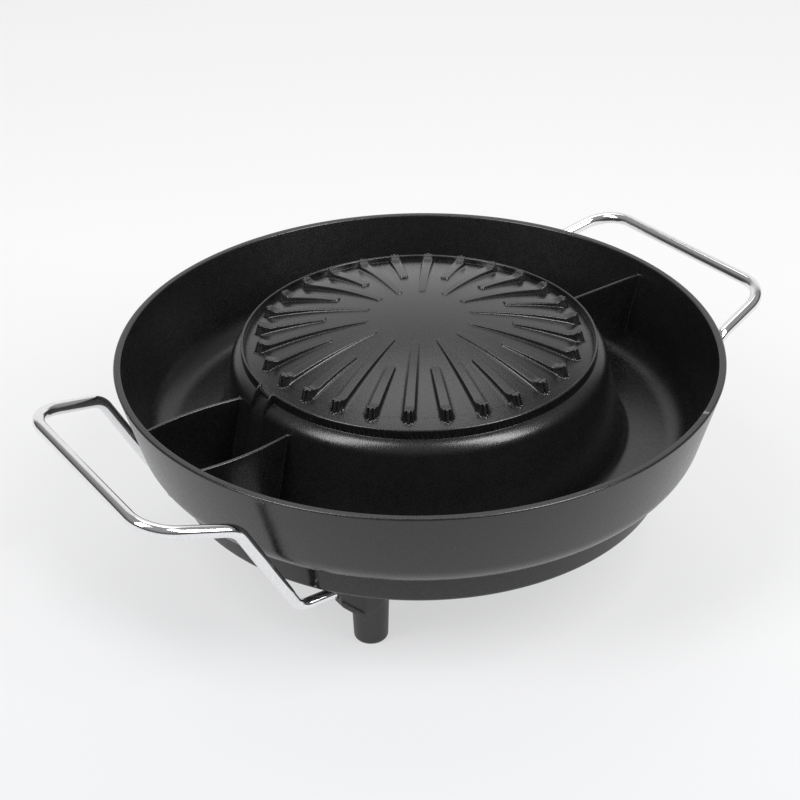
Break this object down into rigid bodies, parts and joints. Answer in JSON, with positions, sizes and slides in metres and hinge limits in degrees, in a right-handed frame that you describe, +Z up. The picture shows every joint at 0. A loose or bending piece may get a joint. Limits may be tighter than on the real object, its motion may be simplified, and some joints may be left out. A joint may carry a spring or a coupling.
{
  "type": "electric hot pot with grill plate",
  "caption": "Round black electric hot pot: a ring-shaped soup moat round a raised, ribbed grill plate, on a base dish with moulded feet and bent wire side handles.",
  "frame": {"origin": "on the table, under the middle of the pan", "axes": "+Z up, +X towards the right-hand handle, -X towards the spout and the left-hand handle, +Y towards the inlet at the back"},
  "size_m": [0.474, 0.38, 0.1535],
  "materials": {
    "non_stick_coat": "satin black non-stick coat on a die casting",
    "gloss_enamel": "gloss black",
    "black_phenolic": "moulded, satin black",
    "chrome_rod": "polished",
    "element_sheath": "heat-stained steel tube",
    "bright_sheet": "plain rolled sheet",
    "zinc_steel": "zinc plated",
    "white_ceramic": "unglazed",
    "nickel_pin": "nickel plated"
  },
  "bodies": {
    "root": {"base_dish": "gloss_enamel", "clip_screw_1": "zinc_steel", "clip_screw_2": "zinc_steel", "clip_screw_3": "zinc_steel", "clip_screw_4": "zinc_steel", "cooking_pan": "non_stick_coat", "element_clip_1": "zinc_steel", "element_clip_2": "zinc_steel", "element_clip_3": "zinc_steel", "element_clip_4": "zinc_steel", "foot_front_left": "black_phenolic", "foot_front_right": "black_phenolic", "foot_rear_left": "black_phenolic", "foot_rear_right": "black_phenolic", "foot_screw_front_left": "zinc_steel", "foot_screw_front_right": "zinc_steel", "foot_screw_rear_left": "zinc_steel", "foot_screw_rear_right": "zinc_steel", "handle_left": "chrome_rod", "handle_right": "chrome_rod", "handle_screw_front_left": "zinc_steel", "handle_screw_front_right": "zinc_steel", "handle_screw_rear_left": "zinc_steel", "handle_screw_rear_right": "zinc_steel", "heat_reflector": "bright_sheet", "heating_element": "element_sheath", "inlet_plate": "zinc_steel", "inlet_screw_left": "zinc_steel", "inlet_screw_right": "zinc_steel", "inlet_shroud": "black_phenolic", "pin_insulator_left": "white_ceramic", "pin_insulator_right": "white_ceramic", "probe_sleeve": "zinc_steel", "spacer_front_left": "zinc_steel", "spacer_front_right": "zinc_steel", "spacer_rear_left": "zinc_steel", "spacer_rear_right": "zinc_steel", "terminal_pin_left": "nickel_pin", "terminal_pin_right": "nickel_pin"}
  },
  "joints": []
}
